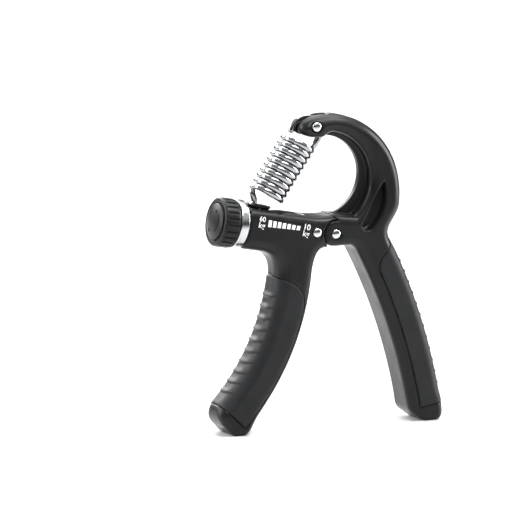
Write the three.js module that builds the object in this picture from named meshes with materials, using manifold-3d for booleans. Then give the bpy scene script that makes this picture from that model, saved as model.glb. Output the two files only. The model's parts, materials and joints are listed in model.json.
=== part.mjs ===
// Adjustable hand grip strengthener. Two handles turn on a riveted hinge and an extension spring pulls the
// top of the right handle's arm towards the left handle's barrel. A knob at the barrel's end turns a lead
// screw, which moves the slider that holds the spring's lower hook and so sets how hard the grip is.
// Millimetres, +Z up. The handles lie in the XZ plane, with the front face towards -Y.
import * as THREE from "three";
import { mergeVertices } from "three/addons/utils/BufferGeometryUtils.js";
import Module from "manifold-3d";

// ---- driving dimensions ------------------------------------------------------------------------------
const DEG = Math.PI / 180;
const GAP = 0.3; // clearance between neighbouring pieces
const HANDLE_THICKNESS = 21; // along Y, over the grip pads
const CORE_THICKNESS = 20.4; // bare plastic of the handles
const ARM_THICKNESS = 18; // the curved arm, along Y
const CORE_ROUNDING = 2.4; // edge rounding of the legs, the pads and the arm
const PAD_ROUNDING = 2.4;
const ARM_ROUNDING = 2.4;

// Points in the XZ plane
const PIVOT = new THREE.Vector2(1.6, 96.7); // the rivet that the handles turn on
const TONGUE_RIVET = new THREE.Vector2(-8.6, 98.0); // holds the hinge plate in the left handle
const SPRING_RIVET = new THREE.Vector2(-8.3, 150.0); // carries the spring's upper loop
const KNUCKLE_RADIUS = 6.4; // round end of the right handle about the pivot

// Each leg is a bow of constant width about its own centre of curvature
const LEG_HALF_WIDTH = 9.6;
const LEFT_LEG = { centre: new THREE.Vector2(-135.8, 90.7), radius: 116.7 };
const RIGHT_LEG = { centre: new THREE.Vector2(-224, -41), radius: 280 };
const PAD_WALL = 2.4; // grip pad thickness
const PAD_STEP = 0.4; // how far a pad stands proud of the bare foot
const LEFT_PAD = { edgeRadius: 123.7, footAngle: -44.6 * DEG };
const RIGHT_PAD = { edgeRadius: 275.9, footAngle: 10 * DEG };

// The curved arm: outer circle, inner circle of the tube, and the hole that the thin fin rims
const ARM_OUTER = { centre: new THREE.Vector2(-1.1, 115.7), radius: 39.7 };
const ARM_INNER = { centre: new THREE.Vector2(-1.9, 123.3), radius: 23.7 };
const ARM_HOLE = { centre: new THREE.Vector2(-1.9, 125.3), radius: 19.5 };
const FIN_THICKNESS = 4;

// The barrel's axis: starts at the inner edge of the knob and falls towards the hinge
const BARREL_TILT = 10.5 * DEG;
const BARREL_START = new THREE.Vector2(-46.2, 103.2);
const BARREL = { from: 0.6, to: 37, above: 9.5, below: 11.2, corner: 7 };
const CHANNEL = { from: 2.6, to: 32.6, above: 7.2, below: 6.1, halfWidth: 6.3 };
const SLOT = { from: 2.2, to: 31, halfWidth: 3.9, bevel: 2 };
const END_BORE_RADIUS = 6.3;

// Stations along the barrel's axis, measured from BARREL_START
const SCREW = { radius: 2, to: 32.3 };
const SHOULDER = { radius: 4.6, from: -5.8, to: -0.6 };
const HOOK_PIN = { along: 8, above: 8.6, radius: 0.8, bush: 1.35, halfLength: 3.2 };
const SLIDER = { from: 3.2, to: 12.8, above: 6.8, below: 5.7, halfWidth: 5.9 };
const SLIDER_NECK_HALF_WIDTH = 3.5;
const SLIDER_PLATE = { from: 1.9, to: 14, bottom: 9.8, top: 11, halfWidth: 4.9 };
const KNOB = { radius: 12.2, face: -13.1, back: -4.7, recessRadius: 9.4, web: -8.2, webBack: -6.2 };
const COLLAR = { radius: 12.2, from: -4.4, to: -0.1, bore: 5 };

// Spring
const WIRE_RADIUS = 1.55;
const COIL_RADIUS = 7.75; // to the middle of the wire
const COIL_PITCH = 3.14;
const COIL_TURNS = 9.5;
const COIL_START = 8.65; // from the hook pin to the first turn, along the spring
const HOOK_RADIUS = 3.3; // to the middle of the wire
const LOOP_BACKSET = 4.2; // the loop's centre lies this far below the rivet, along the spring

const RIVET_SHANK = 2;
const RIVET_HEAD = 2.35;
const RIVET_DOME = 1;
const HINGE_SLOT_HALF = 3; // half of the gap that takes the hinge plate and its washers
const PLATE_HALF = 1.8;
const NOSE_SLOT_HALF = 2;

// ---- materials ---------------------------------------------------------------------------------------
const material = (color, roughness, metalness) =>
  new THREE.MeshStandardMaterial({ color, roughness, metalness });
const plastic = material(0x1b1c1e, 0.42, 0);
const rubber = material(0x26282a, 0.75, 0);
const chrome = material(0xd5d8db, 0.14, 1);
const steel = material(0xa9adb1, 0.32, 1);
const silver = material(0xc6c9cc, 0.24, 1);
const brass = material(0xb08d46, 0.35, 1);
const nylon = material(0xd9d6cc, 0.55, 0);

// ---- solids ------------------------------------------------------------------------------------------
const wasm = await Module();
wasm.setup();

const toSolid = (geometry) => {
  const bare = geometry.clone();
  bare.deleteAttribute("normal");
  bare.deleteAttribute("uv");
  const merged = mergeVertices(bare, 1e-4);
  const corners = merged.index.array;
  const kept = [];
  for (let i = 0; i < corners.length; i += 3) {
    const [a, b, c] = corners.slice(i, i + 3);
    if (a !== b && b !== c && c !== a) kept.push(a, b, c);
  }
  return new wasm.Manifold(
    new wasm.Mesh({
      numProp: 3,
      vertProperties: new Float32Array(merged.attributes.position.array),
      triVerts: new Uint32Array(kept),
    }),
  );
};

const toGeometry = (solid) => {
  const mesh = solid.getMesh();
  const geometry = new THREE.BufferGeometry();
  geometry.setAttribute("position", new THREE.BufferAttribute(mesh.vertProperties, 3));
  geometry.setIndex(new THREE.BufferAttribute(mesh.triVerts, 1));
  geometry.computeVertexNormals();
  return geometry;
};

const union = (first, ...rest) => rest.reduce((sum, solid) => sum.add(solid), first);
const cut = (first, ...rest) => rest.reduce((sum, solid) => sum.subtract(solid), first);

// The outline's points, without any that nearly repeat the one before
const tidyOutline = (shape, arcSegments) => {
  const points = shape.getPoints(arcSegments);
  const kept = points.filter((point, i) => point.distanceTo(points.at(i - 1)) > 0.02);
  return new THREE.Shape(kept);
};

// An outline in the XZ plane, extruded along Y about the middle plane. round is the edge rounding.
const plate = (shape, thickness, { round = 0, arcSegments = 6 } = {}) => {
  const geometry = new THREE.ExtrudeGeometry(tidyOutline(shape, arcSegments), {
    depth: thickness - 2 * round,
    bevelEnabled: round > 0,
    bevelThickness: round,
    bevelSize: round,
    bevelOffset: -round,
    bevelSegments: 2,
  });
  geometry.translate(0, 0, round - thickness / 2);
  geometry.rotateX(Math.PI / 2);
  return toSolid(geometry);
};

// A cylinder along Y at a point of the XZ plane, from y0 to y1
const pin = (point, radius, y0, y1, sides = 16) => {
  const geometry = new THREE.CylinderGeometry(radius, radius, y1 - y0, sides);
  geometry.translate(point.x, (y0 + y1) / 2, point.y);
  return toSolid(geometry);
};

// The barrel's frame: local z runs along the barrel towards the hinge, local y is up, local x is across
const alongBarrel = new THREE.Vector2(Math.cos(BARREL_TILT), -Math.sin(BARREL_TILT));
const aboveBarrel = new THREE.Vector2(Math.sin(BARREL_TILT), Math.cos(BARREL_TILT));
const barrelFrame = new THREE.Matrix4()
  .makeBasis(
    new THREE.Vector3(0, 1, 0),
    new THREE.Vector3(aboveBarrel.x, 0, aboveBarrel.y),
    new THREE.Vector3(alongBarrel.x, 0, alongBarrel.y),
  )
  .setPosition(BARREL_START.x, 0, BARREL_START.y);

// A point given by its station along the barrel and its height above the axis
const barrelPoint = (along, above) =>
  BARREL_START.clone().addScaledVector(alongBarrel, along).addScaledVector(aboveBarrel, above);

// A solid of revolution about the barrel's axis. The profile lists radius and station, closed on itself.
const turned = (profile, sides = 24) => {
  const points = profile.map(([radius, along]) => new THREE.Vector2(radius, along));
  const geometry = new THREE.LatheGeometry(points, sides);
  geometry.rotateX(Math.PI / 2);
  geometry.scale(1, -1, 1);
  const index = geometry.index;
  for (let i = 0; i < index.count; i += 3) {
    const corner = index.getX(i + 1);
    index.setX(i + 1, index.getX(i + 2));
    index.setX(i + 2, corner);
  }
  return toSolid(geometry.applyMatrix4(barrelFrame));
};

const ring = (inner, outer, from, to, sides = 24) =>
  turned(
    [
      [inner, from],
      [outer, from],
      [outer, to],
      [inner, to],
      [inner, from],
    ],
    sides,
  );

const rod = (radius, from, to, sides = 24) =>
  turned(
    [
      [0, from],
      [radius, from],
      [radius, to],
      [0, to],
    ],
    sides,
  );

// A section across the barrel, extruded along it
const alongSection = (section, from, to) => {
  const geometry = new THREE.ExtrudeGeometry(section, { depth: to - from, bevelEnabled: false });
  geometry.translate(0, 0, from);
  return toSolid(geometry.applyMatrix4(barrelFrame));
};

// A box in the barrel's frame
const channel = (from, to, bottom, top, halfWidth) => {
  const geometry = new THREE.BoxGeometry(2 * halfWidth, top - bottom, to - from);
  geometry.translate(0, (top + bottom) / 2, (from + to) / 2);
  return toSolid(geometry.applyMatrix4(barrelFrame));
};

const onCircle = (centre, radius, angle) =>
  new THREE.Vector2(centre.x + radius * Math.cos(angle), centre.y + radius * Math.sin(angle));

const angleAtHeight = (centre, radius, z) => Math.asin((z - centre.y) / radius);

// Adds an arc to an outline, joined by a straight line to what comes before, if anything does
const ORIGIN = new THREE.Vector2();
const arcTo = (shape, centre, radius, from, to, clockwise) => {
  const start = onCircle(centre, radius, from);
  const isFirst = shape.curves.length === 0 && shape.currentPoint.equals(ORIGIN);
  if (isFirst) shape.moveTo(start.x, start.y);
  else shape.lineTo(start.x, start.y);
  shape.absarc(centre.x, centre.y, radius, from, to, clockwise);
};

// ---- left handle -------------------------------------------------------------------------------------
// The leg and its neck up into the barrel. inset moves the outer, padded side inwards.
const leftLegShape = (inset) => {
  const { centre, radius } = LEFT_LEG;
  const inner = radius + LEG_HALF_WIDTH;
  const outer = radius - LEG_HALF_WIDTH + inset;
  const shape = new THREE.Shape();
  shape.moveTo(-35, 97);
  shape.lineTo(-35, 90.5);
  shape.bezierCurveTo(-30.5, 88, -29.3, 84, onCircle(centre, outer, -0.11).x, 79);
  arcTo(shape, centre, outer, -0.115, angleAtHeight(centre, outer, 16.5), true);
  shape.bezierCurveTo(-61 + inset, 14.1, -62.4 + inset, 9.2, -57.8, 5);
  shape.bezierCurveTo(-55, 2.7, -54, 0, -51.8, 0);
  shape.lineTo(-45.4, 0);
  const heel = angleAtHeight(centre, inner, 9.4);
  shape.bezierCurveTo(-42.2, 0, -41.8, 5.4, onCircle(centre, inner, heel).x, 9.4);
  arcTo(shape, centre, inner, heel, -0.11, false);
  shape.bezierCurveTo(-9.6, 83, -8, 89.8, -2.5, 89.8);
  shape.lineTo(-2.5, 97);
  return shape;
};

// The region of the leg that the pad covers, seen from the front
const leftPadRegion = (grow) => {
  const { centre } = LEFT_LEG;
  const edge = LEFT_PAD.edgeRadius + grow;
  const foot = LEFT_PAD.footAngle - grow / edge;
  const shape = new THREE.Shape();
  const outside = onCircle(centre, 94, foot);
  shape.moveTo(outside.x, outside.y);
  arcTo(shape, centre, edge, foot, -0.24, false);
  shape.bezierCurveTo(-15.4 + grow, 67 + grow, -16.4 + grow, 72 + grow, -26.6, 75.9 + grow);
  shape.lineTo(-46, 83 + grow);
  return shape;
};

const leftCoreShape = (shrink) => {
  const { centre, radius } = LEFT_LEG;
  const outer = radius - LEG_HALF_WIDTH + PAD_WALL + shrink;
  const inner = radius + LEG_HALF_WIDTH - 1;
  const shape = new THREE.Shape();
  arcTo(shape, centre, outer, -0.05, -0.82, true);
  arcTo(shape, centre, inner, -0.82, -0.05, false);
  return shape;
};

const coreHalf = HANDLE_THICKNESS / 2 - PAD_WALL;

function makeLeftHandle() {
  const leg = plate(leftLegShape(PAD_STEP), CORE_THICKNESS, { round: CORE_ROUNDING });
  const barrelSection = new THREE.Shape();
  const half = CORE_THICKNESS / 2;
  const { above, below, corner } = BARREL;
  barrelSection.moveTo(half, above - corner);
  barrelSection.absarc(half - corner, above - corner, corner, 0, 90 * DEG, false);
  barrelSection.absarc(corner - half, above - corner, corner, 90 * DEG, 180 * DEG, false);
  barrelSection.absarc(corner - half, corner - below, corner, 180 * DEG, 270 * DEG, false);
  barrelSection.absarc(half - corner, corner - below, corner, 270 * DEG, 360 * DEG, false);
  const barrel = alongSection(tidyOutline(barrelSection, 3), BARREL.from, BARREL.to);

  // The end round the knuckle, with a pointed nose over it
  const end = new THREE.Shape();
  const noseAngle = 73.5 * DEG;
  end.moveTo(-19, 91.5);
  end.lineTo(-16, 106.6);
  end.quadraticCurveTo(-7, 105, 1, 105.9);
  arcTo(end, PIVOT, KNUCKLE_RADIUS + 0.4, noseAngle, 241 * DEG, false);
  end.lineTo(-2.5, 89.8);
  end.lineTo(-8, 86.5);
  const hingeEnd = plate(end, CORE_THICKNESS, { arcSegments: 8 });

  // Bevelled edges of the slot, which clear the spring as it swings down
  const flare = new THREE.Shape();
  flare.moveTo(-SLOT.halfWidth, above - SLOT.bevel);
  flare.lineTo(SLOT.halfWidth, above - SLOT.bevel);
  flare.lineTo(SLOT.halfWidth + SLOT.bevel + 1, above + 1);
  flare.lineTo(-SLOT.halfWidth - SLOT.bevel - 1, above + 1);

  const plateSlot = plate(hingePlateShape(GAP, 12), 2 * HINGE_SLOT_HALF);
  const body = cut(
    union(leg, barrel, hingeEnd),
    channel(CHANNEL.from, CHANNEL.to, -CHANNEL.below, CHANNEL.above, CHANNEL.halfWidth),
    channel(SLOT.from, SLOT.to, 0, above + 3, SLOT.halfWidth),
    alongSection(flare, SLOT.from, SLOT.to),
    rod(END_BORE_RADIUS, 0, CHANNEL.from + 1),
    plateSlot,
    pin(TONGUE_RIVET, RIVET_SHANK + GAP, -20, 20),
    pin(TONGUE_RIVET, RIVET_HEAD + 0.5, -20, -9),
    pin(TONGUE_RIVET, RIVET_HEAD + 0.5, 9, 20),
    pin(PIVOT, KNUCKLE_RADIUS + 0.4, -20, 20, 40),
  );
  const region = plate(leftPadRegion(GAP), 60);
  const core = plate(leftCoreShape(GAP), 2 * (coreHalf - GAP));
  return union(cut(body, region), core.intersect(plate(leftPadRegion(1), 60)));
}

function makeLeftPad() {
  const envelope = plate(leftLegShape(0), HANDLE_THICKNESS, { round: PAD_ROUNDING });
  return envelope.intersect(plate(leftPadRegion(0), 60)).subtract(plate(leftCoreShape(0), 2 * coreHalf));
}

// ---- right handle ------------------------------------------------------------------------------------
const rightLegShape = (inset) => {
  const { centre, radius } = RIGHT_LEG;
  const inner = radius - LEG_HALF_WIDTH;
  const outer = radius + LEG_HALF_WIDTH - inset;
  const shape = new THREE.Shape();
  shape.moveTo(14, 100);
  arcTo(shape, centre, inner, angleAtHeight(centre, inner, 89), angleAtHeight(centre, inner, 8), true);
  shape.bezierCurveTo(42.6, 4.4, 46.2, 2.8, 48.6, 1.1);
  shape.bezierCurveTo(49.6, 0.4, 50.6, 0, 51.6, 0);
  shape.lineTo(57.2, 0);
  shape.bezierCurveTo(60, 0, 61.8 - inset, 2.2, 61.6 - inset, 6.4);
  arcTo(shape, centre, outer, angleAtHeight(centre, outer, 8), angleAtHeight(centre, outer, 86), false);
  shape.bezierCurveTo(33.6, 91, 32, 93, 32, 95.5);
  shape.lineTo(30, 100);
  return shape;
};

const rightPadRegion = (grow) => {
  const { centre } = RIGHT_LEG;
  const edge = RIGHT_PAD.edgeRadius - grow;
  const foot = RIGHT_PAD.footAngle - grow / edge;
  const outside = onCircle(centre, 302, foot);
  const shape = new THREE.Shape();
  shape.moveTo(46, 97 + grow);
  shape.lineTo(31.6 - grow, 92.6 + grow);
  shape.bezierCurveTo(33.6 - grow, 86.5 + grow, 24 - grow, 84.5 + grow, 25.3 - grow, 78.6);
  arcTo(shape, centre, edge, 25.4 * DEG, foot, true);
  shape.lineTo(outside.x, outside.y);
  return shape;
};

const rightCoreShape = (shrink) => {
  const { centre, radius } = RIGHT_LEG;
  const outer = radius + LEG_HALF_WIDTH - PAD_WALL - shrink;
  const inner = radius - LEG_HALF_WIDTH + 1;
  const shape = new THREE.Shape();
  arcTo(shape, centre, inner, 27.5 * DEG, 8.6 * DEG, true);
  arcTo(shape, centre, outer, 8.6 * DEG, 27.5 * DEG, false);
  return shape;
};

// The hinge plate is a straight bar with round ends. reach lengthens it past the pivot for its slot.
const hingePlateShape = (grow, reach = 0) => {
  const along = PIVOT.clone().sub(TONGUE_RIVET);
  const angle = along.angle();
  const radius = 4.4 + grow;
  const tip = PIVOT.clone().addScaledVector(along.normalize(), reach);
  const shape = new THREE.Shape();
  arcTo(shape, TONGUE_RIVET, radius, angle + 90 * DEG, angle + 270 * DEG, false);
  arcTo(shape, tip, radius, angle - 90 * DEG, angle + 90 * DEG, false);
  return shape;
};

function makeRightHandle() {
  const leg = plate(rightLegShape(PAD_STEP), CORE_THICKNESS, { round: CORE_ROUNDING });

  // The knuckle and the broad part between the leg and the arm
  const hub = new THREE.Shape();
  hub.moveTo(9.5, 90.3);
  arcTo(hub, PIVOT, KNUCKLE_RADIUS, 270 * DEG, 70 * DEG, true);
  hub.lineTo(4.3, 103.5);
  hub.lineTo(1.7, 106.1);
  arcTo(hub, ARM_HOLE.centre, ARM_HOLE.radius, -79 * DEG, -58 * DEG, false);
  hub.lineTo(18.5, 112);
  hub.lineTo(26, 118);
  hub.lineTo(35.6, 107);
  hub.quadraticCurveTo(32.6, 100.5, 32, 95.5);
  hub.lineTo(29, 86);
  hub.lineTo(14.8, 86);
  hub.quadraticCurveTo(12.8, 90.3, 9.5, 90.3);
  const hubSolid = plate(hub, CORE_THICKNESS, { arcSegments: 8 });

  const arm = new THREE.Shape();
  arm.moveTo(34, 102);
  arcTo(arm, ARM_OUTER.centre, ARM_OUTER.radius, -14 * DEG, 103 * DEG, false);
  arm.bezierCurveTo(-13.4, 153.6, -16.3, 151.6, -15.9, 148.4);
  arm.bezierCurveTo(-15.5, 145.8, -11, 144.4, -5.4, 144.2);
  arm.bezierCurveTo(-2.2, 144.1, -1.8, 146.9, 2.4, 146.6);
  arcTo(arm, ARM_INNER.centre, ARM_INNER.radius, 78 * DEG, -35 * DEG, true);
  arm.lineTo(22, 102);
  const armSolid = plate(arm, ARM_THICKNESS, { round: ARM_ROUNDING, arcSegments: 8 });

  const fin = new THREE.Shape();
  arcTo(fin, ARM_INNER.centre, ARM_INNER.radius + 1.5, -50 * DEG, 88 * DEG, false);
  arcTo(fin, ARM_HOLE.centre, ARM_HOLE.radius, 82 * DEG, -62 * DEG, true);
  const finSolid = plate(fin, FIN_THICKNESS, { arcSegments: 8 });

  // Moulded recess in both faces, a teardrop that follows the arm
  const recess = new THREE.Shape();
  recess.moveTo(28.6, 121);
  recess.bezierCurveTo(23, 116, 21.6, 108.5, 16.4, 102);
  recess.bezierCurveTo(14.6, 98, 18.6, 95.6, 21.6, 98.6);
  recess.bezierCurveTo(27, 104, 30.4, 112, 28.6, 121);
  const recessDepth = 5;
  const frontRecess = plate(recess, 12).translate([0, -6 - CORE_THICKNESS / 2 + recessDepth, 0]);
  const backRecess = plate(recess, 12).translate([0, 6 + CORE_THICKNESS / 2 - recessDepth, 0]);

  // Gap in the knuckle that the hinge plate turns in
  const sweep = new THREE.Shape();
  arcTo(sweep, PIVOT, 5.4, -60 * DEG, 100 * DEG, false);
  sweep.lineTo(PIVOT.x - 12, PIVOT.y + 7);
  sweep.lineTo(PIVOT.x - 12, PIVOT.y - 14);
  sweep.lineTo(PIVOT.x - 3, PIVOT.y - 14);
  const plateGap = plate(sweep, 2 * HINGE_SLOT_HALF);

  // Slot in the arm's nose for the spring's upper loop
  const slot = new THREE.Shape();
  arcTo(slot, SPRING_RIVET, COIL_RADIUS + WIRE_RADIUS + 0.5, -75 * DEG, 25 * DEG, false);
  slot.lineTo(0, 162);
  slot.lineTo(-14, 162);
  slot.lineTo(-24, 150);
  slot.lineTo(-16, 138);
  const noseSlot = plate(slot, 2 * NOSE_SLOT_HALF);

  const body = cut(
    union(leg, hubSolid, armSolid, finSolid),
    frontRecess,
    backRecess,
    plateGap,
    noseSlot,
    pin(PIVOT, RIVET_SHANK + GAP, -20, 20),
    pin(SPRING_RIVET, RIVET_SHANK + GAP, -20, 20),
    pin(PIVOT, RIVET_HEAD + 0.5, -20, -9),
    pin(PIVOT, RIVET_HEAD + 0.5, 9, 20),
    pin(SPRING_RIVET, RIVET_HEAD + 0.5, -20, -7.8),
    pin(SPRING_RIVET, RIVET_HEAD + 0.5, 7.8, 20),
  );
  const region = plate(rightPadRegion(GAP), 60);
  const core = plate(rightCoreShape(GAP), 2 * (coreHalf - GAP));
  return union(cut(body, region), core.intersect(plate(rightPadRegion(1), 60)));
}

function makeRightPad() {
  const envelope = plate(rightLegShape(0), HANDLE_THICKNESS, { round: PAD_ROUNDING });
  return envelope.intersect(plate(rightPadRegion(0), 60)).subtract(plate(rightCoreShape(0), 2 * coreHalf));
}

// ---- rivets and hinge hardware -----------------------------------------------------------------------
// A rivet along Y with a domed head at each end. headY is where the head's flat side lies.
function makeRivet(point, headY) {
  const steps = 3;
  const edge = headY + 0.35;
  const dome = [[RIVET_HEAD, edge]];
  for (let i = 1; i < steps; i++) {
    const angle = (i / steps) * 90 * DEG;
    dome.push([RIVET_HEAD * Math.cos(angle), edge + RIVET_DOME * Math.sin(angle)]);
  }
  const half = [[RIVET_SHANK, headY], [RIVET_HEAD, headY], ...dome, [0, edge + RIVET_DOME]];
  const profile = [...half.map(([r, y]) => [r, -y]).reverse(), ...half];
  const points = profile.map(([r, y]) => new THREE.Vector2(r, y));
  const geometry = new THREE.LatheGeometry(points, 16);
  geometry.translate(point.x, 0, point.y);
  return toSolid(geometry);
}

const collarAlongY = (point, inner, outer, y0, y1) =>
  pin(point, outer, y0, y1, 24).subtract(pin(point, inner, y0 - 1, y1 + 1, 24));

const makeHingePlate = () =>
  cut(
    plate(hingePlateShape(0), 2 * PLATE_HALF),
    pin(PIVOT, 3.1 + GAP, -9, 9, 24),
    pin(TONGUE_RIVET, RIVET_SHANK + GAP, -9, 9),
  );

// ---- knob, screw and slider --------------------------------------------------------------------------
function makeKnobGrip() {
  const { radius, face, back, recessRadius, web, webBack } = KNOB;
  const shell = turned(
    [
      [2.1, web],
      [recessRadius, web],
      [recessRadius, face + 0.3],
      [radius - 0.9, face],
      [radius, face + 0.8],
      [radius, back],
      [SHOULDER.radius + GAP, back],
      [SHOULDER.radius + GAP, webBack],
      [2.1, webBack],
      [2.1, web],
    ],
    36,
  );
  const groove = (turn) => {
    const geometry = new THREE.BoxGeometry(0.9, 1.6, 6.2);
    geometry.translate(0, radius, (face + back) / 2 + 0.4);
    geometry.rotateZ(turn);
    return toSolid(geometry.applyMatrix4(barrelFrame));
  };
  const grooves = 24;
  return cut(shell, ...Array.from({ length: grooves }, (_, i) => groove((i * 2 * Math.PI) / grooves)));
}

const makeKnobCap = () =>
  turned(
    [
      [0, KNOB.face - 1.8],
      [4, KNOB.face - 1.6],
      [7.4, KNOB.face - 1],
      [9, KNOB.face - 0.2],
      [9, KNOB.face + 1.8],
      [7.6, KNOB.face + 1.8],
      [7.6, KNOB.face + 0.6],
      [0, KNOB.face - 0.1],
    ],
    36,
  );

const makeLeadScrew = () =>
  turned([
    [1.5, SHOULDER.from],
    [SHOULDER.radius, SHOULDER.from],
    [SHOULDER.radius, SHOULDER.to],
    [SCREW.radius, SHOULDER.to],
    [SCREW.radius, SCREW.to],
    [0, SCREW.to],
    [0, SHOULDER.to],
    [1.5, SHOULDER.to],
    [1.5, SHOULDER.from],
  ]);

const makeFixingScrew = () =>
  turned([
    [0, KNOB.web - 2.4],
    [3.2, KNOB.web - 1.8],
    [3.4, KNOB.web - GAP],
    [1.2, KNOB.web - GAP],
    [1.2, SHOULDER.to - GAP],
    [0, SHOULDER.to - GAP],
  ]);

function makeSlider() {
  const { from, to, above, below, halfWidth } = SLIDER;
  const hook = barrelPoint(HOOK_PIN.along, HOOK_PIN.above);
  return cut(
    union(
      channel(from, to, -below, above, halfWidth),
      channel(from, to, above - 1, SLIDER_PLATE.bottom + 0.2, SLIDER_NECK_HALF_WIDTH),
      channel(
        SLIDER_PLATE.from,
        SLIDER_PLATE.to,
        SLIDER_PLATE.bottom,
        SLIDER_PLATE.top,
        SLIDER_PLATE.halfWidth,
      ),
    ),
    rod(SCREW.radius + GAP, from - 2, to + 2),
    rod(3.9, from - 1, to - 2.6),
    channel(HOOK_PIN.along - 5.2, HOOK_PIN.along + 5.2, 3.7, 20, WIRE_RADIUS + 0.4),
    pin(hook, HOOK_PIN.radius + 0.1, -5, 5),
  );
}

// ---- spring ------------------------------------------------------------------------------------------
const hookPin = barrelPoint(HOOK_PIN.along, HOOK_PIN.above);
const springLine = SPRING_RIVET.clone().sub(hookPin);
const springAngle = springLine.angle();
const springLength = springLine.length();

// A point of the spring, given by its place along the spring, across it in the XZ plane, and along Y
const springPoint = (along, across, y) =>
  new THREE.Vector3(
    hookPin.x + along * Math.cos(springAngle) + across * Math.sin(springAngle),
    y,
    hookPin.y + along * Math.sin(springAngle) - across * Math.cos(springAngle),
  );

// The coil is right-handed. It starts on the side away from the arm and ends on the side towards it.
const coilTop = COIL_START + COIL_TURNS * COIL_PITCH;
const coilPoint = (turn) => {
  const angle = (turn + 0.5) * 2 * Math.PI;
  return springPoint(
    COIL_START + turn * COIL_PITCH,
    COIL_RADIUS * Math.cos(angle),
    COIL_RADIUS * Math.sin(angle),
  );
};

const STEPS_PER_TURN = 11;
const coilRun = (from, to) => {
  const steps = Math.round((to - from) * STEPS_PER_TURN);
  return Array.from({ length: steps + 1 }, (_, i) => coilPoint(from + ((to - from) * i) / steps));
};

// An arc of the loop or hook in the middle plane, about a centre on the spring's axis
const planeArc = (centreAlong, radius, from, to, steps) =>
  Array.from({ length: steps + 1 }, (_, i) => {
    const angle = from + ((to - from) * i) / steps;
    return springPoint(centreAlong + radius * Math.cos(angle), radius * Math.sin(angle), 0);
  });

const WIRE_SIDES = 6;
function wire(points) {
  const path = new THREE.CatmullRomCurve3(points, false, "centripetal");
  const section = new THREE.Shape();
  section.absarc(0, 0, WIRE_RADIUS, 0, 2 * Math.PI, false);
  return new THREE.ExtrudeGeometry(tidyOutline(section, WIRE_SIDES / 2), {
    steps: points.length - 1,
    extrudePath: path,
    bevelEnabled: false,
  });
}

const MID_TURN = COIL_TURNS / 2;
const SPLIT = 0.012; // turns of wire left out on each side of a place where two of its pieces meet

const makeSpringHook = () => {
  const hook = planeArc(0, HOOK_RADIUS, 60 * DEG, 262 * DEG, 8);
  const rise = [springPoint(2.4, -3.5, 0), springPoint(5.3, -6.7, 0.3), springPoint(7.3, -7.6, 1)];
  return toSolid(wire([...hook, ...rise, coilPoint(-2 * SPLIT)]));
};

const makeSpringLower = () => toSolid(wire(coilRun(2 * SPLIT, MID_TURN - SPLIT)));

const makeSpringUpper = () => {
  const centre = springLength - LOOP_BACKSET;
  const rise = [springPoint(coilTop + 1.6, COIL_RADIUS, 0.9), springPoint(coilTop + 3.8, COIL_RADIUS, 0.2)];
  const loop = planeArc(centre, COIL_RADIUS, 90 * DEG, -118 * DEG, 10);
  return toSolid(wire([...coilRun(MID_TURN + SPLIT, COIL_TURNS - 0.03), ...rise, ...loop]));
};

// ---- assembly ----------------------------------------------------------------------------------------
const grip = new THREE.Group();
const add = (name, solid, look) => {
  const mesh = new THREE.Mesh(toGeometry(solid), look);
  mesh.name = name;
  grip.add(mesh);
};

add("left_handle_frame", makeLeftHandle(), plastic);
add("left_grip_pad", makeLeftPad(), rubber);
add("right_handle_frame", makeRightHandle(), plastic);
add("right_grip_pad", makeRightPad(), rubber);
add("hinge_plate", makeHingePlate(), steel);
add("hinge_bush", collarAlongY(PIVOT, RIVET_SHANK + GAP, 3.1, -PLATE_HALF, PLATE_HALF), brass);
add("hinge_washer_front", collarAlongY(PIVOT, RIVET_SHANK + GAP, 4.2, -2.7, -2.1), nylon);
add("hinge_washer_back", collarAlongY(PIVOT, RIVET_SHANK + GAP, 4.2, 2.1, 2.7), nylon);
add("pivot_rivet", makeRivet(PIVOT, 9.3), chrome);
add("hinge_plate_rivet", makeRivet(TONGUE_RIVET, 9.3), chrome);
add("spring_rivet", makeRivet(SPRING_RIVET, 8.1), chrome);
add("knob_grip", makeKnobGrip(), plastic);
add("knob_end_cap", makeKnobCap(), plastic);
add("knob_collar", ring(COLLAR.bore, COLLAR.radius, COLLAR.from, COLLAR.to, 36), silver);
add("knob_fixing_screw", makeFixingScrew(), steel);
add("lead_screw", makeLeadScrew(), steel);
add("thrust_washer", ring(SCREW.radius + GAP, 4.6, -0.3, 0.3), nylon);
add("screw_bearing", ring(SCREW.radius + GAP, END_BORE_RADIUS - GAP, 0.6, 2.2), brass);
add("screw_clip", ring(SCREW.radius + GAP, 3.9, 30.2, 30.8, 24), steel);
add("screw_end_bush", ring(SCREW.radius + GAP, 5.2, 31.1, 32.3), brass);
add("slider_block", makeSlider(), plastic);
add("slider_nut", ring(SCREW.radius + 0.1, 3.6, 3.6, 9.8, 24), brass);
add("slider_pin", pin(hookPin, HOOK_PIN.radius, -HOOK_PIN.halfLength, HOOK_PIN.halfLength), steel);
const hookBush = collarAlongY(hookPin, HOOK_PIN.radius + 0.1, HOOK_PIN.bush, -WIRE_RADIUS, WIRE_RADIUS);
add("hook_bush", hookBush, nylon);
add("spring_hook", makeSpringHook(), chrome);
add("spring_lower", makeSpringLower(), chrome);
add("spring_upper", makeSpringUpper(), chrome);

export default grip;
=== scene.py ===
import json
import math

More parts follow.
